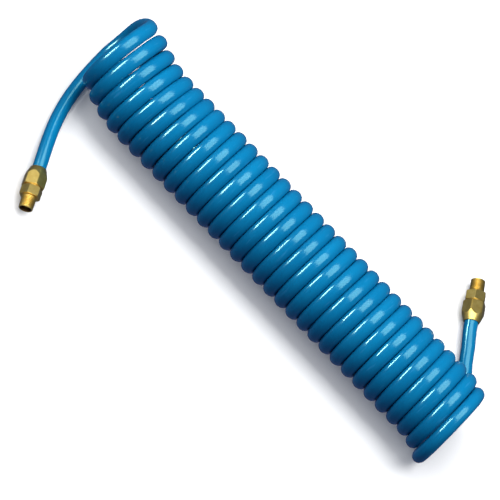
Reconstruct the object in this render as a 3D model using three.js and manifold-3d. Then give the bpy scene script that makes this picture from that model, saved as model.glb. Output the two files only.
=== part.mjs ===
// A coiled air hose: a close-wound nylon hose that lies on its side, with a brass compression
// fitting on each end and a nipple that swivels in each fitting. Millimetres, +Z up.
// The coil lies along X. The inlet end leaves it along the floor towards -Y, the outlet towards +Y.

import * as THREE from "three";
import { mergeVertices } from "three/addons/utils/BufferGeometryUtils.js";
import Module from "manifold-3d";

const wasm = await Module();
wasm.setup();

// ---- Driving dimensions ----

// Hose
const HOSE_OD = 12.7;
const HOSE_ID = 9.5;
const TURNS = 32;
const PITCH = 14.276; // from one turn to the next
const COIL_RADIUS = 36.5; // to the hose's centreline

// How the end turns lie out of line with the rest
const INLET_SWAY = 13.5; // sideways, towards +Y
const INLET_LIFT = 11.3; // upwards, where the inlet end runs under the first turn
const INLET_LOOSE_TURNS = 4.3;
const OUTLET_SWAY = 9.5; // sideways, towards -Y
const OUTLET_LOOSE_TURNS = 2.2;
const LOOSE_POWER = 1.8;
const LEAN_INLET = 0.165; // X moved per Y, as the turns lean over
const LEAN_MIDDLE = 0.084;
const LEAN_OUTLET = 0.02;
const FOOT_SPREAD = 2.8; // how far the first turn's foot stands out along -X
const LAST_TUCK = 4.8; // how far the last turn's foot is tucked back along -X

// Compression nut, ferrule and tube support, measured from the nut's hose end
const NUT_LENGTH = 19.2;
const NUT_CONE = 9.4;
const NUT_MOUTH_RADIUS = 7.3;
const NUT_ACROSS_FLATS = 19.05;
const NUT_CORNER_RADIUS = 10.85;
const NUT_BORE = 6.75;
const NUT_SEAT = [8, 9.9]; // the cone inside that closes the ferrule
const NUT_THREAD_BORE = 8.3;
const FERRULE_START = 8.7;
const FERRULE_END = 13.2;
const FERRULE_RADIUS = 8;
const FERRULE_EDGE = 0.35; // its thickness at each end
const FERRULE_TAPERS = [1.6, 1.3]; // lengths of its back and front cones
const HOSE_END = 17.3;
const SUPPORT_START = 6;
const SUPPORT_FLANGE = 17.7;
const SUPPORT_END = 18.6;
const SUPPORT_WALL = 0.75;

// Fitting body
const BODY_START = 12.7;
const BODY_THREAD_RADIUS = 7.95;
const BODY_HEX_START = 20.2;
const BODY_END = 29.2;
const BODY_ACROSS_FLATS = 17.46;
const BODY_CORNER_RADIUS = 10.05;
const BODY_SEAT = 1.7; // length of the cone at its mouth
const SOCKET_RADIUS = 6.65;
const SOCKET_END = 19;
const CHAMBER_RADIUS = 5.9;
const CHAMBER_END = 22.8;
const JOURNAL_BORE = 4.95;

// Swivel nipple, with its ring, washer and seal
const NIPPLE_START = 29.5;
const NIPPLE_END = 41.5;
const NIPPLE_RADIUS = 6.85;
const NIPPLE_TIP_RADIUS = 6.5; // the pipe thread tapers 1 in 16
const NIPPLE_MOUTH_RADIUS = 5.6;
const NIPPLE_BORE = 4.65;
const KEY_SOCKET = 8; // across flats, for a hexagon key
const KEY_SOCKET_START = 32;
const KEY_SOCKET_END = 37;
const TAIL_START = 19.4;
const TAIL_RADIUS = 4.65;
const TAIL_BORE = 3.2;
const RING_GROOVE = [20, 20.9];
const RING_GROOVE_RADIUS = 4.1;
const SEAL_GROOVE = [24.6, 26.4];
const SEAL_GROOVE_RADIUS = 3.95;
const SEAL_HALF_SIZE = [0.37, 0.6]; // across and along
const RING_THICKNESS = 0.6;
const RING_HALF_OPENING = 0.35; // radians

const CHAMFER = 0.8; // on the hexagons' corners
const MOUTH_CHAMFER = 0.9;
const EDGE = 0.4; // on small edges
const GAP = 0.3; // between pieces that touch
const ROUND = 24; // sides of a turned piece
const COIL_SIDES = 40;

// Where each end's nut meets the hose, and which way its nipple points
const INLET_FITTING = {
  at: [-197.2, -108.9, NUT_CORNER_RADIUS],
  heading: -64.7,
  nutRoll: 0,
  bodyRoll: 30,
};
const OUTLET_FITTING = {
  at: [170.4, 100.9, NUT_ACROSS_FLATS / 2],
  heading: 122.7,
  nutRoll: 30,
  bodyRoll: 40,
};

// The hose's route from the coil to where it goes straight into its fitting
const INLET_ROUTE = [
  [-230.2, 13.5, 6.4],
  [-229.6, 2, 6.4],
  [-228.6, -10, 6.4],
  [-226.9, -24, 6.4],
  [-223.9, -40, 6.4],
  [-219.4, -56.5, 6.8],
  [-213.9, -72, 8.2],
  [-207.7, -86.5, 10],
];
const OUTLET_ROUTE = [
  [223.6, -9.5, 6.4],
  [223.4, 0, 6.4],
  [222.7, 10, 6.4],
  [221.2, 20, 6.4],
  [218.7, 30.3, 6.4],
  [214.7, 40.2, 6.4],
  [208.9, 49.6, 6.4],
  [201.6, 59, 6.5],
  [192.9, 69.6, 7.3],
  [184.6, 81.3, 8.7],
];

// ---- Materials ----

const material = (color, roughness, metalness) =>
  new THREE.MeshStandardMaterial({ color, roughness, metalness });
const nylon = material(0x0a78b4, 0.22, 0);
const brass = material(0xc8a446, 0.28, 1);
const steel = material(0x9a9da0, 0.35, 1);
const acetal = material(0xe9e7df, 0.45, 0);
const rubber = material(0x1b1b1c, 0.7, 0);

// ---- Solids ----

/** One closed mesh with shared vertices, from any three.js geometry. */
function welded(geometry) {
  const bare = geometry.clone();
  bare.deleteAttribute("normal");
  bare.deleteAttribute("uv");
  return mergeVertices(bare, 1e-4);
}

function toManifold(geometry) {
  const closed = welded(geometry);
  return new wasm.Manifold(
    new wasm.Mesh({
      numProp: 3,
      vertProperties: new Float32Array(closed.attributes.position.array),
      triVerts: new Uint32Array(closed.index.array),
    }),
  );
}

function fromManifold(solid) {
  const mesh = solid.getMesh();
  const geometry = new THREE.BufferGeometry();
  geometry.setAttribute("position", new THREE.Float32BufferAttribute(mesh.vertProperties, 3));
  geometry.setIndex(new THREE.Uint32BufferAttribute(mesh.triVerts, 1));
  geometry.computeVertexNormals();
  return geometry;
}

/** A ring turned about X. Its outline is [radius, x] points, out along its far side and back inside. */
function turned(outline, sides = ROUND, firstAngle = 0) {
  const points = [...outline, outline[0]].map(([radius, x]) => new THREE.Vector2(radius, x));
  return new THREE.LatheGeometry(points, sides, firstAngle).rotateZ(-Math.PI / 2);
}

/** A hexagonal bar along X with a corner upwards, turned by roll degrees. */
function hexBar(acrossFlats, start, end, roll = 0) {
  const corner = acrossFlats / Math.sqrt(3);
  return new THREE.CylinderGeometry(corner, corner, end - start, 6)
    .rotateY(THREE.MathUtils.degToRad(roll))
    .translate(0, (start + end) / 2, 0)
    .rotateZ(-Math.PI / 2);
}

/** A hollow hose along a route. */
function hoseAlong(points, steps) {
  const section = new THREE.Shape().absarc(0, 0, HOSE_OD / 2, 0, 2 * Math.PI);
  section.holes.push(new THREE.Path().absarc(0, 0, HOSE_ID / 2, 0, 2 * Math.PI, true));
  const places = points.map((point) => new THREE.Vector3(...point));
  const route = new THREE.CatmullRomCurve3(places, false, "centripetal");
  return new THREE.ExtrudeGeometry(section, { steps, curveSegments: 6, extrudePath: route });
}

// ---- The coil and the hose's two ends ----

const smooth = THREE.MathUtils.smoothstep;
const looseness = (turn, turns) => Math.max(0, 1 - Math.max(0, turn) / turns) ** LOOSE_POWER;

/** How far the turns stand to the side and up, and how much they lean, that many turns from the inlet. */
function lie(turn) {
  const inlet = looseness(turn, INLET_LOOSE_TURNS);
  const outlet = looseness(TURNS - turn, OUTLET_LOOSE_TURNS);
  return {
    sway: INLET_SWAY * inlet - OUTLET_SWAY * outlet,
    lift: INLET_LIFT * inlet * smooth(turn, 0, 0.8),
    lean:
      (LEAN_MIDDLE +
        (LEAN_INLET - LEAN_MIDDLE) * (1 - smooth(turn, 4, 9)) +
        (LEAN_OUTLET - LEAN_MIDDLE) * smooth(turn, 22, TURNS)) *
      smooth(turn, 0.2, 0.45),
  };
}

/** The outer shape of the coil, hollow or filled, grown outwards by a margin. */
function coilShape(hollow, margin) {
  const hose = HOSE_OD / 2;
  const outside = (COIL_RADIUS + hose + margin) / Math.cos(Math.PI / COIL_SIDES);
  const inside = COIL_RADIUS - hose;
  const ends = [-(hose + FOOT_SPREAD) / PITCH, TURNS + (hose - LAST_TUCK) / PITCH];
  const turns = [ends[0], 0.4, 1, 2, 3, INLET_LOOSE_TURNS, 9, 22, TURNS - OUTLET_LOOSE_TURNS, TURNS - 1];
  turns.push(ends[1]);
  const outer = turns.map((turn) => [outside, turn]);
  const inner = hollow ? turns.map((turn) => [inside, turn]).reverse() : [[0, ends[1]], [0, ends[0]]];
  const shape = turned([...outer, ...inner], COIL_SIDES, Math.PI / COIL_SIDES);
  const position = shape.attributes.position;
  for (let i = 0; i < position.count; i += 1) {
    const turn = position.getX(i);
    const across = position.getY(i);
    const { sway, lift, lean } = lie(turn);
    position.setXYZ(
      i,
      (turn - TURNS / 2) * PITCH + lean * across,
      across + sway,
      position.getZ(i) + COIL_RADIUS + hose + lift,
    );
  }
  return shape;
}

/** A hose end from under the coil to its stop in the fitting, cut back to meet the coil. */
function hoseEnd(route, fitting, steps) {
  const heading = THREE.MathUtils.degToRad(fitting.heading);
  const straight = [-9, 0, 9, HOSE_END].map((along) => [
    fitting.at[0] + along * Math.cos(heading),
    fitting.at[1] + along * Math.sin(heading),
    fitting.at[2],
  ]);
  const tube = toManifold(hoseAlong([...route, ...straight], steps));
  return fromManifold(tube.subtract(toManifold(coilShape(false, GAP))));
}

// ---- The fitting's pieces, each along X from the nut's hose end ----

/** Turned brass with a hexagon milled on it. */
function hexPiece(outline, acrossFlats, roll, start, end) {
  const bar = hexBar(acrossFlats, start - 1, end + 1, roll);
  return toManifold(turned(outline)).intersect(toManifold(bar));
}

function nut(roll) {
  return fromManifold(
    hexPiece(
      [
        [NUT_BORE, 0],
        [NUT_MOUTH_RADIUS, 0],
        [NUT_CORNER_RADIUS, NUT_CONE],
        [NUT_CORNER_RADIUS, NUT_LENGTH - CHAMFER],
        [NUT_CORNER_RADIUS - CHAMFER, NUT_LENGTH],
        [NUT_THREAD_BORE, NUT_LENGTH],
        [NUT_THREAD_BORE, NUT_SEAT[1]],
        [NUT_BORE, NUT_SEAT[0]],
      ],
      NUT_ACROSS_FLATS,
      roll,
      0,
      NUT_LENGTH,
    ),
  );
}

function ferrule() {
  const thin = SOCKET_RADIUS + FERRULE_EDGE;
  return turned([
    [SOCKET_RADIUS, FERRULE_START],
    [thin, FERRULE_START],
    [FERRULE_RADIUS, FERRULE_START + FERRULE_TAPERS[0]],
    [FERRULE_RADIUS, FERRULE_END - FERRULE_TAPERS[1]],
    [thin, FERRULE_END],
    [SOCKET_RADIUS, FERRULE_END],
  ]);
}

function tubeSupport() {
  const outside = HOSE_ID / 2 - GAP;
  const inside = outside - SUPPORT_WALL;
  return turned([
    [inside, SUPPORT_START],
    [outside, SUPPORT_START],
    [outside, SUPPORT_FLANGE],
    [SOCKET_RADIUS - GAP, SUPPORT_FLANGE],
    [SOCKET_RADIUS - GAP, SUPPORT_END],
    [inside, SUPPORT_END],
  ]);
}

function fittingBody(roll) {
  return fromManifold(
    hexPiece(
      [
        [BODY_THREAD_RADIUS - EDGE / 2, BODY_START],
        [BODY_THREAD_RADIUS, BODY_START + EDGE / 2],
        [BODY_THREAD_RADIUS, BODY_HEX_START],
        [BODY_CORNER_RADIUS - CHAMFER, BODY_HEX_START],
        [BODY_CORNER_RADIUS, BODY_HEX_START + CHAMFER],
        [BODY_CORNER_RADIUS, BODY_END - CHAMFER],
        [BODY_CORNER_RADIUS - CHAMFER, BODY_END],
        [JOURNAL_BORE, BODY_END],
        [JOURNAL_BORE, CHAMBER_END],
        [CHAMBER_RADIUS, CHAMBER_END],
        [CHAMBER_RADIUS, SOCKET_END],
        [SOCKET_RADIUS, SOCKET_END],
        [SOCKET_RADIUS, BODY_START + BODY_SEAT],
      ],
      BODY_ACROSS_FLATS,
      roll,
      BODY_START,
      BODY_END,
    ),
  );
}

function swivelNipple() {
  const blank = turned([
    [TAIL_BORE, TAIL_START],
    [TAIL_RADIUS, TAIL_START],
    [TAIL_RADIUS, RING_GROOVE[0]],
    [RING_GROOVE_RADIUS, RING_GROOVE[0]],
    [RING_GROOVE_RADIUS, RING_GROOVE[1]],
    [TAIL_RADIUS, RING_GROOVE[1]],
    [TAIL_RADIUS, SEAL_GROOVE[0]],
    [SEAL_GROOVE_RADIUS, SEAL_GROOVE[0]],
    [SEAL_GROOVE_RADIUS, SEAL_GROOVE[1]],
    [TAIL_RADIUS, SEAL_GROOVE[1]],
    [TAIL_RADIUS, NIPPLE_START],
    [NIPPLE_RADIUS, NIPPLE_START],
    [NIPPLE_TIP_RADIUS, NIPPLE_END - EDGE],
    [NIPPLE_TIP_RADIUS - EDGE, NIPPLE_END],
    [NIPPLE_MOUTH_RADIUS, NIPPLE_END],
    [NIPPLE_BORE, NIPPLE_END - MOUTH_CHAMFER],
    [NIPPLE_BORE, KEY_SOCKET_END],
    [TAIL_BORE, KEY_SOCKET_END],
  ]);
  const keySocket = hexBar(KEY_SOCKET, KEY_SOCKET_START, KEY_SOCKET_END + EDGE);
  return fromManifold(toManifold(blank).subtract(toManifold(keySocket)));
}

/** A split ring that snaps into the groove at the nipple's inner end. */
function retainingRing() {
  const inside = RING_GROOVE_RADIUS + GAP;
  const outside = CHAMBER_RADIUS - EDGE;
  const [opening, closing] = [RING_HALF_OPENING, 2 * Math.PI - RING_HALF_OPENING];
  const section = new THREE.Shape().absarc(0, 0, outside, opening, closing);
  section.absarc(0, 0, inside, closing, opening, true);
  const flat = { depth: RING_THICKNESS, bevelEnabled: false, curveSegments: 9 };
  const middle = (RING_GROOVE[0] + RING_GROOVE[1]) / 2;
  return new THREE.ExtrudeGeometry(section, flat)
    .rotateY(Math.PI / 2)
    .translate(middle - RING_THICKNESS / 2, 0, 0);
}

function thrustWasher() {
  const [inside, outside] = [TAIL_RADIUS + GAP, CHAMBER_RADIUS - GAP];
  const [start, end] = [RING_GROOVE[1] + GAP, CHAMBER_END - GAP];
  return turned([[inside, start], [outside, start], [outside, end], [inside, end]]);
}

function swivelSeal() {
  const radius = (SEAL_GROOVE_RADIUS + JOURNAL_BORE) / 2;
  const middle = (SEAL_GROOVE[0] + SEAL_GROOVE[1]) / 2;
  const outline = Array.from({ length: 8 }, (_, i) => {
    const angle = ((i - 0.5) * Math.PI) / 4;
    return [radius + SEAL_HALF_SIZE[0] * Math.cos(angle), middle + SEAL_HALF_SIZE[1] * Math.sin(angle)];
  });
  return turned(outline);
}

// ---- Assembly ----

function piece(name, geometry, look) {
  const mesh = new THREE.Mesh(geometry, look);
  mesh.name = name;
  return mesh;
}

/** Every piece of one end's fitting, in a group that is turned to lie in line with the hose. */
function fittingOn(end, { at, heading, nutRoll, bodyRoll }) {
  const group = new THREE.Group();
  group.position.set(...at);
  group.rotation.z = THREE.MathUtils.degToRad(heading);
  group.add(
    piece(`${end}_compression_nut`, nut(nutRoll), brass),
    piece(`${end}_ferrule`, ferrule(), brass),
    piece(`${end}_tube_support`, tubeSupport(), brass),
    piece(`${end}_fitting_body`, fittingBody(bodyRoll), brass),
    piece(`${end}_swivel_nipple`, swivelNipple(), brass),
    piece(`${end}_retaining_ring`, retainingRing(), steel),
    piece(`${end}_thrust_washer`, thrustWasher(), acetal),
    piece(`${end}_swivel_seal`, swivelSeal(), rubber),
  );
  return group;
}

const airHose = new THREE.Group();
airHose.add(
  piece("hose_coil", coilShape(true, 0), nylon),
  piece("inlet_hose_end", hoseEnd(INLET_ROUTE, INLET_FITTING, 12), nylon),
  piece("outlet_hose_end", hoseEnd(OUTLET_ROUTE, OUTLET_FITTING, 12), nylon),
  fittingOn("inlet", INLET_FITTING),
  fittingOn("outlet", OUTLET_FITTING),
);

// The origin is under the middle of the whole hose, on the floor
const box = new THREE.Box3().setFromObject(airHose, true);
const middle = box.getCenter(new THREE.Vector3());
airHose.position.set(-middle.x, -middle.y, -box.min.z);

export default airHose;
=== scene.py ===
"""The coiled air hose: its hose, brass fittings, materials, floor, lights and camera. Metres, +Z up."""

import math

import bpy
import numpy as np
from mathutils import Matrix, Vector


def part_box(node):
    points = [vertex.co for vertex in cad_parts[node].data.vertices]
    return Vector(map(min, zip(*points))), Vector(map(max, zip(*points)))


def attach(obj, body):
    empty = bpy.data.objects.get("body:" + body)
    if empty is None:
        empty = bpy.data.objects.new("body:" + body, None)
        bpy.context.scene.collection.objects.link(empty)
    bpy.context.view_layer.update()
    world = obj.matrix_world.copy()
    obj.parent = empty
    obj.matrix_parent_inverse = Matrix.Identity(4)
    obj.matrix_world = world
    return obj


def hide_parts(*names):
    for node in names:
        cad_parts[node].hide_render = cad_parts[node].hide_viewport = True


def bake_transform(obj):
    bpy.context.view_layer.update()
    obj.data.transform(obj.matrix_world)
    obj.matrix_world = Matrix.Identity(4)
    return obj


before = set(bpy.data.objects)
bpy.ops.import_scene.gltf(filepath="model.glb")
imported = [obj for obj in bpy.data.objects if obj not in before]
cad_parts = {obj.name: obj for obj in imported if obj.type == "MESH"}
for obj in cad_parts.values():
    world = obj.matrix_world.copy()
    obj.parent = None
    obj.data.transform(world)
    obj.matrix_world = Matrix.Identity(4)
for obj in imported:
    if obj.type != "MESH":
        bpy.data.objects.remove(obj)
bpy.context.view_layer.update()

# ---- Driving dimensions, the same as the CAD part's ----

# Hose
HOSE_OD = 0.0127
HOSE_ID = 0.0095
TURNS = 32
PITCH = 0.014276  # from one turn to the next
COIL_RADIUS = 0.0365  # to the hose's centreline
COIL_HEIGHT = COIL_RADIUS + HOSE_OD / 2  # of the coil's axis over the floor

# How the end turns lie out of line with the rest
INLET_SWAY = 0.0135
INLET_LIFT = 0.0113
INLET_LOOSE_TURNS = 4.3
OUTLET_SWAY = 0.0095
OUTLET_LOOSE_TURNS = 2.2
LOOSE_POWER = 1.8
LEAN_INLET = 0.165  # X moved per Y, as the turns lean over
LEAN_MIDDLE = 0.084
LEAN_OUTLET = 0.02
MIDDLE_TURNS = (9, 22)  # where the lean is the middle's
LEAN_CHANGES_AT = 4  # the turn up to which the lean is the inlet's
LIFTED_BY = 0.8  # turns in which the inlet's end turn rises to its lift
FOOT_SPREAD = 0.0028  # how far the first turn's foot stands out along -X
LAST_TUCK = 0.0048  # how far the last turn's foot is tucked back along -X

# Compression nut, measured from its hose end
NUT_LENGTH = 0.0192
NUT_CONE = 0.0094
NUT_MOUTH_RADIUS = 0.0073
NUT_ACROSS_FLATS = 0.01905
NUT_CORNER_RADIUS = 0.01085
NUT_BORE = 0.00675
NUT_SEAT = (0.008, 0.0099)
NUT_THREAD_BORE = 0.0083
HOSE_END = 0.0173

# Fitting body
BODY_START = 0.0127
BODY_THREAD_RADIUS = 0.00795
BODY_HEX_START = 0.0202
BODY_END = 0.0292
BODY_ACROSS_FLATS = 0.01746
BODY_CORNER_RADIUS = 0.01005
BODY_SEAT = 0.0017
SOCKET_RADIUS = 0.00665
SOCKET_END = 0.019
CHAMBER_RADIUS = 0.0059
CHAMBER_END = 0.0228
JOURNAL_BORE = 0.00495
BODY_THREAD_PITCH = 0.0254 / 24

# Swivel nipple
NIPPLE_START = 0.0295
NIPPLE_END = 0.0415
NIPPLE_RADIUS = 0.00685
NIPPLE_TIP_RADIUS = 0.0065
NIPPLE_MOUTH_RADIUS = 0.0056
NIPPLE_BORE = 0.00465
KEY_SOCKET = 0.008
KEY_SOCKET_START = 0.032
KEY_SOCKET_END = 0.037
TAIL_START = 0.0194
TAIL_RADIUS = 0.00465
TAIL_BORE = 0.0032
RING_GROOVE = (0.020, 0.0209)
RING_GROOVE_RADIUS = 0.0041
SEAL_GROOVE = (0.0246, 0.0264)
SEAL_GROOVE_RADIUS = 0.00395
PIPE_THREAD_PITCH = 0.0254 / 18

CHAMFER = 0.0008
MOUTH_CHAMFER = 0.0009
EDGE = 0.0004


class Fitting:
    """Where one end's nut meets the hose, and the line that its pieces lie along."""

    def __init__(self, end, at, heading, nut_roll, body_roll, body):
        self.end = end
        self.at = Vector(at)
        self.axis = Vector((math.cos(math.radians(heading)), math.sin(math.radians(heading)), 0))
        self.side = Vector((-self.axis.y, self.axis.x, 0))
        self.nut_roll = math.radians(nut_roll)
        self.body_roll = math.radians(body_roll)
        self.body = body  # the CAD body that the hose's end rides on

    def along(self, distance):
        return self.at + self.axis * distance


INLET = Fitting("inlet", (-0.1972, -0.1089, NUT_CORNER_RADIUS), -64.7, 0, 30, "hose")
OUTLET = Fitting("outlet", (0.1704, 0.1009, NUT_ACROSS_FLATS / 2), 122.7, 30, 40, "outlet_end")

# The hose's route from the coil to where it goes straight into its fitting
INLET_ROUTE = [
    (-0.2302, 0.0135, 0.0064),
    (-0.2296, 0.0020, 0.0064),
    (-0.2286, -0.0100, 0.0064),
    (-0.2269, -0.0240, 0.0064),
    (-0.2239, -0.0400, 0.0064),
    (-0.2194, -0.0565, 0.0068),
    (-0.2139, -0.0720, 0.0082),
    (-0.2077, -0.0865, 0.0100),
]
OUTLET_ROUTE = [
    (0.2236, -0.0095, 0.0064),
    (0.2234, 0.0000, 0.0064),
    (0.2227, 0.0100, 0.0064),
    (0.2212, 0.0200, 0.0064),
    (0.2187, 0.0303, 0.0064),
    (0.2147, 0.0402, 0.0064),
    (0.2089, 0.0496, 0.0064),
    (0.2016, 0.0590, 0.0065),
    (0.1929, 0.0696, 0.0073),
    (0.1846, 0.0813, 0.0087),
]
STRAIGHT = (-0.009, 0, 0.009, HOSE_END)  # the route's points along the fitting's own line


def middle_of(node):
    low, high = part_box(node)
    return (low + high) / 2


# From the dimensions' own origin, under the coil's middle, to the frame's
SEAL_MIDDLE = sum(SEAL_GROOVE) / 2
SHIFT = middle_of("inlet_swivel_seal") - INLET.along(SEAL_MIDDLE)

# ---- Camera ----

ELEVATION = math.radians(62)
ROLL = math.radians(46.2)
VIEW_WIDTH = 0.447  # of what the picture shows at the coil
LENS = 800  # from far away, so the turns at the ends are seen square on as well
SENSOR = 36
AIM_BACK = 0.0146  # from the coil's middle towards its inlet end
AIM_DOWN = 0.0253

level = Vector((1, 0, 0))
upright = Vector((0, math.sin(ELEVATION), math.cos(ELEVATION)))
towards_camera = level.cross(upright)
coil_middle = SHIFT + Vector((0, 0, COIL_HEIGHT))


def make_camera():
    lens = bpy.data.cameras.new("camera")
    lens.lens = LENS
    lens.sensor_width = SENSOR
    lens.clip_end = 50
    camera = bpy.data.objects.new("camera", lens)
    bpy.context.scene.collection.objects.link(camera)
    right = level * math.cos(ROLL) + upright * math.sin(ROLL)
    up = upright * math.cos(ROLL) - level * math.sin(ROLL)
    turn = Matrix((right, up, towards_camera)).transposed()
    aim = coil_middle - level * AIM_BACK - upright * AIM_DOWN
    distance = VIEW_WIDTH * LENS / SENSOR
    camera.matrix_world = Matrix.Translation(aim + towards_camera * distance) @ turn.to_4x4()
    bpy.context.scene.camera = camera


make_camera()

# ---- Meshes ----


def solid(name, grid, straight):
    """A closed mesh from a grid of points that joins up with itself both ways.

    straight holds where each point would be on the straightened piece. Its textures follow that.
    """
    columns, rows = grid.shape[:2]
    column, row = np.meshgrid(np.arange(columns), np.arange(rows), indexing="ij")
    next_column = (column + 1) % columns
    next_row = (row + 1) % rows
    corners = ((column, row), (next_column, row), (next_column, next_row), (column, next_row))
    faces = np.stack([c * rows + r for c, r in corners], -1).reshape(-1, 4)
    points = grid.reshape(-1, 3)
    a, b, c, d = (points[faces[:, k]] for k in range(4))
    volume = np.einsum("ij,ij->", a, np.cross(b - a, c - a) + np.cross(c - a, d - a))
    if volume < 0:
        faces = faces[:, ::-1]
    mesh = bpy.data.meshes.new(name)
    mesh.from_pydata(points.tolist(), [], faces.tolist())
    mesh.attributes.new("straight", "FLOAT_VECTOR", "POINT")
    mesh.attributes["straight"].data.foreach_set("vector", straight.reshape(-1).astype(np.float32))
    mesh.shade_smooth()
    piece = bpy.data.objects.new(name, mesh)
    bpy.context.scene.collection.objects.link(piece)
    return piece


# ---- The hose, from inside the inlet fitting, through the coil, into the outlet fitting ----

POINTS_PER_TURN = 20
RINGS_PER_POINT = 2
HOSE_SIDES = 24
FOOT = (0.2, 0.4)  # turns between which the first turn closes up to the second
TUCKED_TURNS = 3  # at the outlet end, over which the tuck grows
EASE = 0.5  # turns over which the stretch fades in and out at the coil's ends
UNFLATTENED_TURNS = 2  # at the outlet end
WIDENED = 0.115  # of a coiled turn's section along the coil, as bending flattens the hose
FLATTENED = 0.08


def smooth(value, start, end):
    share = min(1, max(0, (value - start) / (end - start)))
    return share * share * (3 - 2 * share)


def looseness(turn, turns):
    return max(0, 1 - max(0, turn) / turns) ** LOOSE_POWER


def coil_point(turn):
    """The hose's centreline, that many turns from the inlet. Whole turns are on the floor."""
    inlet = looseness(turn, INLET_LOOSE_TURNS)
    outlet = looseness(TURNS - turn, OUTLET_LOOSE_TURNS)
    lean = LEAN_MIDDLE
    lean += (LEAN_INLET - LEAN_MIDDLE) * (1 - smooth(turn, LEAN_CHANGES_AT, MIDDLE_TURNS[0]))
    lean += (LEAN_OUTLET - LEAN_MIDDLE) * smooth(turn, MIDDLE_TURNS[1], TURNS)
    closed = smooth(turn, *FOOT)
    angle = 2 * math.pi * turn
    across = COIL_RADIUS * math.sin(angle)
    underneath = (1 + math.cos(angle)) ** 2 / 4
    tuck = LAST_TUCK * underneath * max(0, 1 - (TURNS - turn) / TUCKED_TURNS)
    lift = INLET_LIFT * inlet * smooth(turn, 0, LIFTED_BY)
    return Vector((
        PITCH * (turn - TURNS / 2) + lean * closed * across - FOOT_SPREAD * (1 - closed) - tuck,
        across + INLET_SWAY * inlet - OUTLET_SWAY * outlet,
        COIL_HEIGHT - COIL_RADIUS * math.cos(angle) + lift,
    ))


def stretch_share(turn):
    """How much of the coil's stretch a ring has taken up, that many turns from the inlet."""
    turn = min(TURNS, max(0, turn))
    rise = min(turn, EASE) ** 2 / (2 * EASE) + max(0, turn - EASE)
    late = max(0, turn - (TURNS - EASE))
    return (rise - late**2 / (2 * EASE)) / (TURNS - EASE)


def route():
    """The hose's chosen points, and for each how many turns it is from the inlet."""
    inlet = [*map(Vector, INLET_ROUTE), *map(INLET.along, STRAIGHT)]
    outlet = [*map(Vector, OUTLET_ROUTE), *map(OUTLET.along, STRAIGHT)]
    turns = [k / POINTS_PER_TURN for k in range(1, TURNS * POINTS_PER_TURN)]
    points = [*reversed(inlet), *map(coil_point, turns), *outlet]
    return [p + SHIFT for p in points], [0] * len(inlet) + turns + [TURNS] * len(outlet)


def curve_through(points, turns):
    """Rings along a smooth curve through the points (centripetal Catmull-Rom)."""
    ends = [2 * points[0] - points[1], *points, 2 * points[-1] - points[-2]]
    rings, ring_turns = [], []
    for k in range(1, len(ends) - 2):
        p0, p1, p2, p3 = ends[k - 1 : k + 3]
        t0 = 0
        t1 = t0 + math.sqrt((p1 - p0).length)
        t2 = t1 + math.sqrt((p2 - p1).length)
        t3 = t2 + math.sqrt((p3 - p2).length)
        for step in range(RINGS_PER_POINT):
            share = step / RINGS_PER_POINT
            t = t1 + (t2 - t1) * share
            a1 = p0.lerp(p1, (t - t0) / (t1 - t0))
            a2 = p1.lerp(p2, (t - t1) / (t2 - t1))
            a3 = p2.lerp(p3, (t - t2) / (t3 - t2))
            b1 = a1.lerp(a2, (t - t0) / (t2 - t0))
            b2 = a2.lerp(a3, (t - t1) / (t3 - t1))
            rings.append(b1.lerp(b2, (t - t1) / (t2 - t1)))
            ring_turns.append(turns[k - 1] + (turns[k] - turns[k - 1]) * share)
    rings.append(points[-1])
    ring_turns.append(turns[-1])
    return rings, ring_turns


def hose_frames(rings):
    """Each ring's place, the way ahead, and two directions across, carried on without twisting."""
    places = np.array(rings)
    ahead = np.gradient(places, axis=0)
    ahead /= np.linalg.norm(ahead, axis=1, keepdims=True)
    up = np.zeros_like(ahead)
    up[0] = (0, 0, 1)
    for k in range(len(up)):
        start = up[max(k - 1, 0)]
        start = start - ahead[k] * (start @ ahead[k])
        up[k] = start / np.linalg.norm(start)
    return places, ahead, up, np.cross(ahead, up)


def flattened(offsets, ahead, turns):
    """The hose's section at each ring, made wider along the coil and thinner across it."""
    shares = [smooth(turn, 0, EASE) * smooth(TURNS - turn, 0, UNFLATTENED_TURNS) for turn in turns]
    coiled = np.array(shares)[:, None]
    along = np.array((1, 0, 0)) - ahead * ahead[:, :1]
    along /= np.linalg.norm(along, axis=1, keepdims=True)
    across = np.cross(ahead, along)
    wider = coiled * WIDENED * along * np.einsum("ijk,jk->ij", offsets, along)[..., None]
    thinner = coiled * FLATTENED * across * np.einsum("ijk,jk->ij", offsets, across)[..., None]
    return offsets + wider - thinner


def make_hose():
    rings, turns = curve_through(*route())
    places, ahead, up, side = hose_frames(rings)
    steps = np.linalg.norm(np.diff(places, axis=0), axis=1)
    length = np.concatenate([[0], np.cumsum(steps)])
    walls = []
    straight_walls = []
    for radius in (HOSE_OD / 2, HOSE_ID / 2):
        angles = np.arange(HOSE_SIDES) * 2 * math.pi / HOSE_SIDES
        cos, sin = (radius * f(angles)[:, None, None] for f in (np.cos, np.sin))
        walls.append(places[None] + flattened(cos * up[None] + sin * side[None], ahead, turns))
        flat = np.broadcast_to(length, (HOSE_SIDES, len(length)))
        straight_walls.append(np.stack([cos[..., 0] + 0 * flat, sin[..., 0] + 0 * flat, flat], -1))
    out_and_back = [np.concatenate([w[0], w[1][:, ::-1]], axis=1) for w in (walls, straight_walls)]
    hose = solid("air_hose", *out_and_back)
    shares = np.array([stretch_share(t) for t in turns])
    return hose, rings, float(length[-1]), np.tile(np.concatenate([shares, shares[::-1]]), HOSE_SIDES)


hose, hose_line, hose_length, hose_shares = make_hose()
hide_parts("hose_coil", "inlet_hose_end", "outlet_hose_end")
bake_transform(hose)

# ---- Brass fittings, each turned about its own line from the nut's hose end ----

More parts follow.
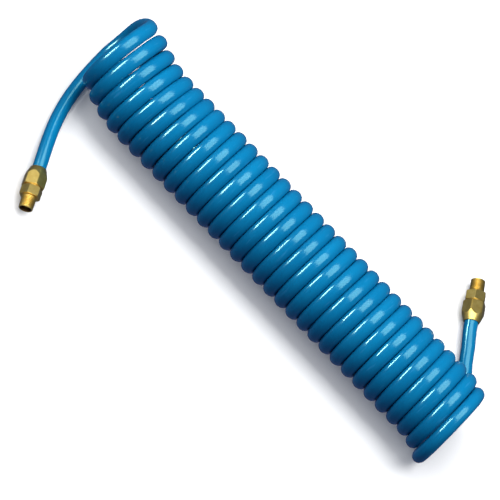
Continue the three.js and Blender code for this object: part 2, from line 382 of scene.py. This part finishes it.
FITTING_COLUMNS = 96
THREAD_ROWS = 12  # per turn of thread
THREAD_SLOPE = 1.3  # of its flanks, over a plain V's
THREAD_CREST = 0.15  # how far the V is raised, which leaves its crest flat
BODY_THREAD_DEPTH = 0.0006
PIPE_THREAD_DEPTH = 0.0008
BEVEL = 0.00012
BEVEL_ANGLE = math.radians(18)
SHARP_ANGLE = math.radians(35)


def hexagon(across_flats, angle):
    """A hexagonal bar's radius, that far round from one of its corners."""
    return across_flats / 2 / np.cos((angle % (math.pi / 3)) - math.pi / 6)


def thread_depth(position, pitch):
    """From 0 on the crest to 1 in the root of a V thread with flats."""
    phase = position / pitch % 1
    return np.clip(THREAD_SLOPE * np.abs(2 * phase - 1) - THREAD_CREST, 0, 1)


def thread_rows(start, end, radius, pitch, depth, fade, angle):
    """Rows of [radius, along] over a right-handed thread. radius is a function of the place along it."""
    rows = []
    count = round((end - start) / pitch * THREAD_ROWS)
    for k in range(count + 1):
        along = start + (end - start) * k / count
        cut = smooth(along, start, start + fade) * smooth(-along, -end, fade - end)
        groove = thread_depth(along - pitch * angle / (2 * math.pi), pitch)
        rows.append((radius(along) - depth * cut * groove, along))
    return rows


def flip(rows):
    """The same rows, with the way along them turned round."""
    return [(radius, -along) for radius, along in rows]


def between(first, last, count):
    """Points from first to last, without the last."""
    return [tuple(f + (l - f) * k / count for f, l in zip(first, last)) for k in range(count)]


def turned(name, fitting, roll, column_at):
    """A piece about the fitting's line. column_at gives its closed outline at an angle from a corner."""
    angles = np.arange(FITTING_COLUMNS) * 2 * math.pi / FITTING_COLUMNS
    outlines = np.array([column_at(angle) for angle in angles])
    at, axis, side = (np.array(v) for v in (fitting.at + SHIFT, fitting.axis, fitting.side))
    spin = angles[:, None] + roll
    radius, along = outlines[..., 0], outlines[..., 1]
    sideways, upwards = -radius * np.sin(spin), radius * np.cos(spin)
    grid = at + along[..., None] * axis + sideways[..., None] * side + upwards[..., None] * (0, 0, 1)
    piece = solid(name, grid, np.stack([sideways, upwards, along], -1))
    bevel = piece.modifiers.new("edges", "BEVEL")
    bevel.width = BEVEL
    bevel.segments = 2
    bevel.limit_method = "ANGLE"
    bevel.angle_limit = BEVEL_ANGLE
    bevel.harden_normals = True
    piece.data.set_sharp_from_angle(angle=SHARP_ANGLE)
    return piece


def chamfer_at(flat, corner_radius):
    """How much is turned off a hexagon's end there: most at its corners, barely any on its flats."""
    return max(EDGE / 4, flat - corner_radius + CHAMFER)


def nut_column(angle):
    flat = min(hexagon(NUT_ACROSS_FLATS, angle), NUT_CORNER_RADIUS)
    cone = NUT_CONE * (flat - NUT_MOUTH_RADIUS) / (NUT_CORNER_RADIUS - NUT_MOUTH_RADIUS)
    edge = chamfer_at(flat, NUT_CORNER_RADIUS)
    return [
        (NUT_BORE + EDGE / 4, 0),
        (NUT_MOUTH_RADIUS - EDGE / 2, 0),
        *between((NUT_MOUTH_RADIUS + EDGE / 2, EDGE), (flat, cone), 6),
        *between((flat, cone), (flat, NUT_LENGTH - edge), 4),
        (flat, NUT_LENGTH - edge),
        (flat - edge, NUT_LENGTH),
        (NUT_THREAD_BORE + EDGE, NUT_LENGTH),
        *flip(
            thread_rows(
                -NUT_LENGTH + EDGE,
                -NUT_SEAT[1] - EDGE,
                lambda along: NUT_THREAD_BORE,
                BODY_THREAD_PITCH,
                -EDGE / 2,
                BODY_THREAD_PITCH,
                -angle,
            )
        ),
        (NUT_BORE, NUT_SEAT[0]),
        (NUT_BORE, EDGE / 4),
    ]


def body_column(angle):
    flat = min(hexagon(BODY_ACROSS_FLATS, angle), BODY_CORNER_RADIUS)
    edge = chamfer_at(flat, BODY_CORNER_RADIUS)
    return [
        (BODY_THREAD_RADIUS - EDGE, BODY_START),
        *thread_rows(
            BODY_START + EDGE,
            BODY_HEX_START - EDGE,
            lambda along: BODY_THREAD_RADIUS,
            BODY_THREAD_PITCH,
            BODY_THREAD_DEPTH,
            BODY_THREAD_PITCH / 2,
            angle,
        ),
        (BODY_THREAD_RADIUS, BODY_HEX_START),
        (flat - edge, BODY_HEX_START),
        *between((flat, BODY_HEX_START + edge), (flat, BODY_END - edge), 4),
        (flat, BODY_END - edge),
        (flat - edge, BODY_END),
        (JOURNAL_BORE + EDGE, BODY_END),
        (JOURNAL_BORE, BODY_END - EDGE),
        (JOURNAL_BORE, CHAMBER_END),
        (CHAMBER_RADIUS, CHAMBER_END),
        (CHAMBER_RADIUS, SOCKET_END),
        (SOCKET_RADIUS, SOCKET_END),
        (SOCKET_RADIUS, BODY_START + BODY_SEAT),
    ]


def nipple_column(angle):
    taper = (NIPPLE_RADIUS - NIPPLE_TIP_RADIUS) / (NIPPLE_END - EDGE - NIPPLE_START)
    key = min(hexagon(KEY_SOCKET, angle), NIPPLE_BORE)
    return [
        (TAIL_BORE, TAIL_START),
        (TAIL_RADIUS, TAIL_START),
        (TAIL_RADIUS, RING_GROOVE[0]),
        (RING_GROOVE_RADIUS, RING_GROOVE[0]),
        (RING_GROOVE_RADIUS, RING_GROOVE[1]),
        (TAIL_RADIUS, RING_GROOVE[1]),
        (TAIL_RADIUS, SEAL_GROOVE[0]),
        (SEAL_GROOVE_RADIUS, SEAL_GROOVE[0]),
        (SEAL_GROOVE_RADIUS, SEAL_GROOVE[1]),
        (TAIL_RADIUS, SEAL_GROOVE[1]),
        (TAIL_RADIUS, NIPPLE_START),
        (NIPPLE_RADIUS - EDGE, NIPPLE_START),
        *thread_rows(
            NIPPLE_START + EDGE,
            NIPPLE_END - EDGE,
            lambda along: NIPPLE_RADIUS - taper * (along - NIPPLE_START),
            PIPE_THREAD_PITCH,
            PIPE_THREAD_DEPTH,
            PIPE_THREAD_PITCH,
            angle,
        ),
        (NIPPLE_TIP_RADIUS - EDGE, NIPPLE_END),
        (NIPPLE_MOUTH_RADIUS, NIPPLE_END),
        (NIPPLE_BORE, NIPPLE_END - MOUTH_CHAMFER),
        (NIPPLE_BORE, KEY_SOCKET_END + EDGE),
        (key, KEY_SOCKET_END),
        (key, KEY_SOCKET_START),
        (TAIL_BORE, KEY_SOCKET_START),
    ]


def make_fitting(fitting):
    """The three pieces of a fitting that show, each in place of its CAD node."""
    made = []
    for part, roll, column, body in (
        ("compression_nut", fitting.nut_roll, nut_column, f"{fitting.end}_nut"),
        ("fitting_body", fitting.body_roll, body_column, fitting.body),
        ("swivel_nipple", 0, nipple_column, f"{fitting.end}_swivel"),
    ):
        piece = turned(f"{fitting.end}_brass_{part.split('_')[1]}", fitting, roll, column)
        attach(piece, body)
        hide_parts(f"{fitting.end}_{part}")
        made.append(piece)
    return made


inlet_pieces = make_fitting(INLET)
outlet_pieces = make_fitting(OUTLET)

# ---- Materials ----


class Look:
    """A material's node tree. Its patterns lie along the straightened piece, or just on a CAD node."""

    def __init__(self, name, on_cad=False, **uniform):
        self.material = bpy.data.materials.new(name)
        self.material.use_nodes = True
        self.tree = self.material.node_tree
        self.shader = self.tree.nodes["Principled BSDF"]
        for socket, value in uniform.items():
            self.shader.inputs[socket.replace("_", " ")].default_value = value
        if on_cad:
            self.places = self.node("ShaderNodeTexCoord").outputs["Object"]
        else:
            self.places = self.node("ShaderNodeAttribute", attribute_name="straight").outputs["Vector"]

    def node(self, kind, inputs=(), **settings):
        made = self.tree.nodes.new(kind)
        for name, value in settings.items():
            setattr(made, name, value)
        for name, value in dict(inputs).items():
            if isinstance(value, bpy.types.NodeSocket):
                self.tree.links.new(value, made.inputs[name])
            else:
                made.inputs[name].default_value = value
        return made

    def noise(self, scale, detail=3):
        """Noise with that many features in a metre, each way across and then along the piece."""
        stretched = self.node(
            "ShaderNodeVectorMath", {0: self.places, 1: scale}, operation="MULTIPLY"
        )
        inputs = {"Vector": stretched.outputs["Vector"], "Scale": 1, "Detail": detail}
        return self.node("ShaderNodeTexNoise", inputs).outputs["Fac"]

    def from_line(self):
        """How far a place is from the straightened piece's own line."""
        flat = self.node("ShaderNodeVectorMath", {0: self.places, 1: (1, 1, 0)}, operation="MULTIPLY")
        inputs = {0: flat.outputs["Vector"]}
        return self.node("ShaderNodeVectorMath", inputs, operation="LENGTH").outputs["Value"]

    def ramp(self, value, *stops):
        """A colour for each value, from (value, colour) stops."""
        ramp = self.node("ShaderNodeValToRGB", {"Fac": value})
        elements = ramp.color_ramp.elements
        while len(elements) < len(stops):
            elements.new(0.5)
        for element, (position, colour) in zip(elements, stops):
            element.position = position
            element.color = (*colour, 1)
        return ramp.outputs["Color"]

    def spread(self, value, low, high, first=0.3, last=0.7):
        """A value from low to high as the pattern goes from first to last."""
        inputs = {"Value": value, "From Min": first, "From Max": last, "To Min": low, "To Max": high}
        return self.node("ShaderNodeMapRange", inputs).outputs["Result"]

    def mix(self, share, first, second):
        inputs = {0: share, 6: first, 7: second}
        return self.node("ShaderNodeMix", inputs, data_type="RGBA").outputs[2]

    def wire(self, socket, value):
        self.tree.links.new(value, self.shader.inputs[socket])

    def bump(self, height, distance, strength=1, under=None):
        inputs = {"Height": height, "Distance": distance, "Strength": strength}
        if under is not None:
            inputs["Normal"] = under
        return self.node("ShaderNodeBump", inputs).outputs["Normal"]


def nylon_look():
    """Extruded blue nylon: glossy, with faint lines along it and a little rubbing."""
    look = Look("blue_nylon", IOR=1.5, Specular_Tint=(0.45, 1, 0.85, 1))
    cloud = look.noise((60, 60, 9))
    colour = look.ramp(cloud, (0.3, (0.001, 0.155, 0.345)), (0.7, (0.002, 0.19, 0.40)))
    rubbed = look.spread(look.noise((420, 420, 60), 6), 0, 0.35, 0.62, 0.8)
    look.wire("Base Color", look.mix(rubbed, colour, (0.05, 0.30, 0.60, 1)))
    look.wire("Roughness", look.spread(look.noise((900, 900, 25), 4), 0.12, 0.24))
    lines = look.noise((1400, 1400, 4), 4)
    waves = look.noise((70, 70, 45), 2)
    fine = look.bump(lines, 0.00003, 0.5)
    look.wire("Normal", look.bump(waves, 0.0003, 0.35, fine))
    return look.material


def metal_look(name, dark, light, rough, on_cad=False, bore=0):
    """Turned metal: lathe lines round it, uneven polish, a slight tarnish, and painted shade in the bore:
    a dark brown colour in place of the shadow inside the mouth.
    """
    look = Look(name, on_cad, Metallic=1)
    colour = look.ramp(look.noise((180, 180, 180), 5), (0.3, dark), (0.7, light))
    # Painted shade: within the bore's radius the colour goes dark brown, in place of the shadow deep in
    # the fitting's mouth
    if bore:
        painted_bore_shade = look.spread(look.from_line(), 1, 0, bore - BEVEL, bore)
        colour = look.mix(painted_bore_shade, colour, (0.10, 0.055, 0.02, 1))
    look.wire("Base Color", colour)
    look.wire("Roughness", look.spread(look.noise((500, 500, 2500), 4), *rough))
    turning = look.noise((40, 40, 7000), 2)
    look.wire("Normal", look.bump(turning, 0.000012, 0.6))
    return look.material


def moulded_look(name, dark, light, rough):
    """Moulded plastic or rubber with a fine grain."""
    look = Look(name, on_cad=True)
    look.wire("Base Color", look.ramp(look.noise((300, 300, 300), 4), (0.3, dark), (0.7, light)))
    look.wire("Roughness", look.spread(look.noise((900, 900, 900), 4), *rough))
    look.wire("Normal", look.bump(look.noise((2500, 2500, 2500), 2), 0.00002, 0.5))
    return look.material


nylon = nylon_look()
BRASS = ((0.78, 0.54, 0.12), (0.94, 0.72, 0.22), (0.36, 0.46))
# The nipple's bore gets painted shade: dark brown colour in place of the shadow inside its mouth
brass = metal_look("turned_brass", *BRASS, bore=NIPPLE_MOUTH_RADIUS)
inner_brass = metal_look("inner_brass", *BRASS, on_cad=True)
steel = metal_look("spring_steel", (0.36, 0.36, 0.37), (0.52, 0.52, 0.53), (0.25, 0.40), on_cad=True)
acetal = moulded_look("acetal", (0.70, 0.69, 0.64), (0.82, 0.81, 0.77), (0.35, 0.50))
rubber = moulded_look("seal_rubber", (0.008, 0.008, 0.009), (0.022, 0.022, 0.024), (0.5, 0.7))

hose.data.materials.append(nylon)
fittings = [*inlet_pieces, *outlet_pieces]
for piece in fittings:
    piece.data.materials.append(brass)
for end in ("inlet", "outlet"):
    for part, look in (
        ("ferrule", inner_brass),
        ("tube_support", inner_brass),
        ("retaining_ring", steel),
        ("thrust_washer", acetal),
        ("swivel_seal", rubber),
    ):
        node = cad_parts[f"{end}_{part}"]
        node.material_slots[0].link = "OBJECT"
        node.material_slots[0].material = look
        fittings.append(node)

# ---- Floor and light ----

FLOOR_SIZE = 6
FLOOR_GAP = 0.0001
LIGHT_DISTANCE = 2.0
WORLD_STRENGTH = 0.13


def make_floor():
    half = FLOOR_SIZE / 2
    corners = [(-half, -half), (half, -half), (half, half), (-half, half)]
    mesh = bpy.data.meshes.new("floor")
    mesh.from_pydata([(x, y, -FLOOR_GAP) for x, y in corners], [], [(0, 1, 2, 3)])
    floor = bpy.data.objects.new("floor", mesh)
    bpy.context.scene.collection.objects.link(floor)
    pale = bpy.data.materials.new("pale_floor")
    pale.use_nodes = True
    pale.node_tree.nodes["Principled BSDF"].inputs["Base Color"].default_value = (0.86, 0.86, 0.86, 1)
    pale.node_tree.nodes["Principled BSDF"].inputs["Roughness"].default_value = 0.7
    mesh.materials.append(pale)
    floor.visible_glossy = False  # the hose reflects the lights alone
    floor.visible_diffuse = False  # and its underside stays dark
    return floor


def area_light(name, direction, size, power, long_side):
    """A soft rectangular light that looks back at the coil, its length along long_side."""
    lamp = bpy.data.lights.new(name, "AREA")
    lamp.shape = "RECTANGLE"
    lamp.size, lamp.size_y = size
    lamp.energy = power
    light = bpy.data.objects.new(name, lamp)
    bpy.context.scene.collection.objects.link(light)
    back = Vector(direction).normalized()
    across = Vector(long_side) - back * back.dot(Vector(long_side))
    across.normalize()
    turn = Matrix((across, back.cross(across), back)).transposed()
    light.matrix_world = Matrix.Translation(coil_middle + back * LIGHT_DISTANCE) @ turn.to_4x4()
    return light


def light_only(light, pieces):
    """Keep a light's shine to these pieces."""
    lit = bpy.data.collections.new(f"lit_by_{light.name}")
    for piece in pieces:
        lit.objects.link(piece)
    light.light_linking.receiver_collection = lit


def towards(sideways, upwards, outwards):
    """A direction from the coil in the camera's upright axes."""
    return level * sideways + upright * upwards + towards_camera * outwards


floor = make_floor()
softbox = area_light("softbox", towards(0, 0.69, 0.72), (2.6, 1.4), 70, level)
light_only(softbox, [hose, floor])
strip = area_light("strip", towards(-0.885, -0.06, 0.46), (1.1, 0.3), 75, upright)
strip.visible_diffuse = False  # it only puts the streak along each turn
light_only(strip, [hose])
fill = area_light("fill", towards(-0.8, 0, 0.6), (1.2, 1.2), 14, upright)
fill.visible_glossy = False
side_card = area_light("side_card", towards(-0.75, -0.25, 0.6), (2.2, 3.2), 17, level)
light_only(side_card, fittings)
top_card = area_light("top_card", towards(0, 0, 1), (3, 2.4), 75, level)
light_only(top_card, fittings)
wash = area_light("wash", towards_camera, (3, 3), 22, level)
wash.data.use_shadow = False  # it lightens the shadow on the floor
light_only(wash, [floor])


def make_world():
    """Dim blue light from all round, darker from below, where the floor doesn't hide it from the hose."""
    world = bpy.data.worlds.new("studio")
    world.use_nodes = True
    nodes, links = world.node_tree.nodes, world.node_tree.links
    direction = nodes.new("ShaderNodeTexCoord").outputs["Generated"]
    parts = nodes.new("ShaderNodeSeparateXYZ")
    ramp = nodes.new("ShaderNodeValToRGB")
    below, above = ramp.color_ramp.elements
    below.color = (0.45, 0.6, 1.3, 1)
    above.color = (0.75, 0.9, 1.25, 1)
    above.position = 0.1
    links.new(direction, parts.inputs["Vector"])
    links.new(parts.outputs["Z"], ramp.inputs["Fac"])
    links.new(ramp.outputs["Color"], nodes["Background"].inputs["Color"])
    nodes["Background"].inputs["Strength"].default_value = WORLD_STRENGTH
    bpy.context.scene.world = world


make_world()
bpy.context.scene.view_settings.view_transform = "Standard"
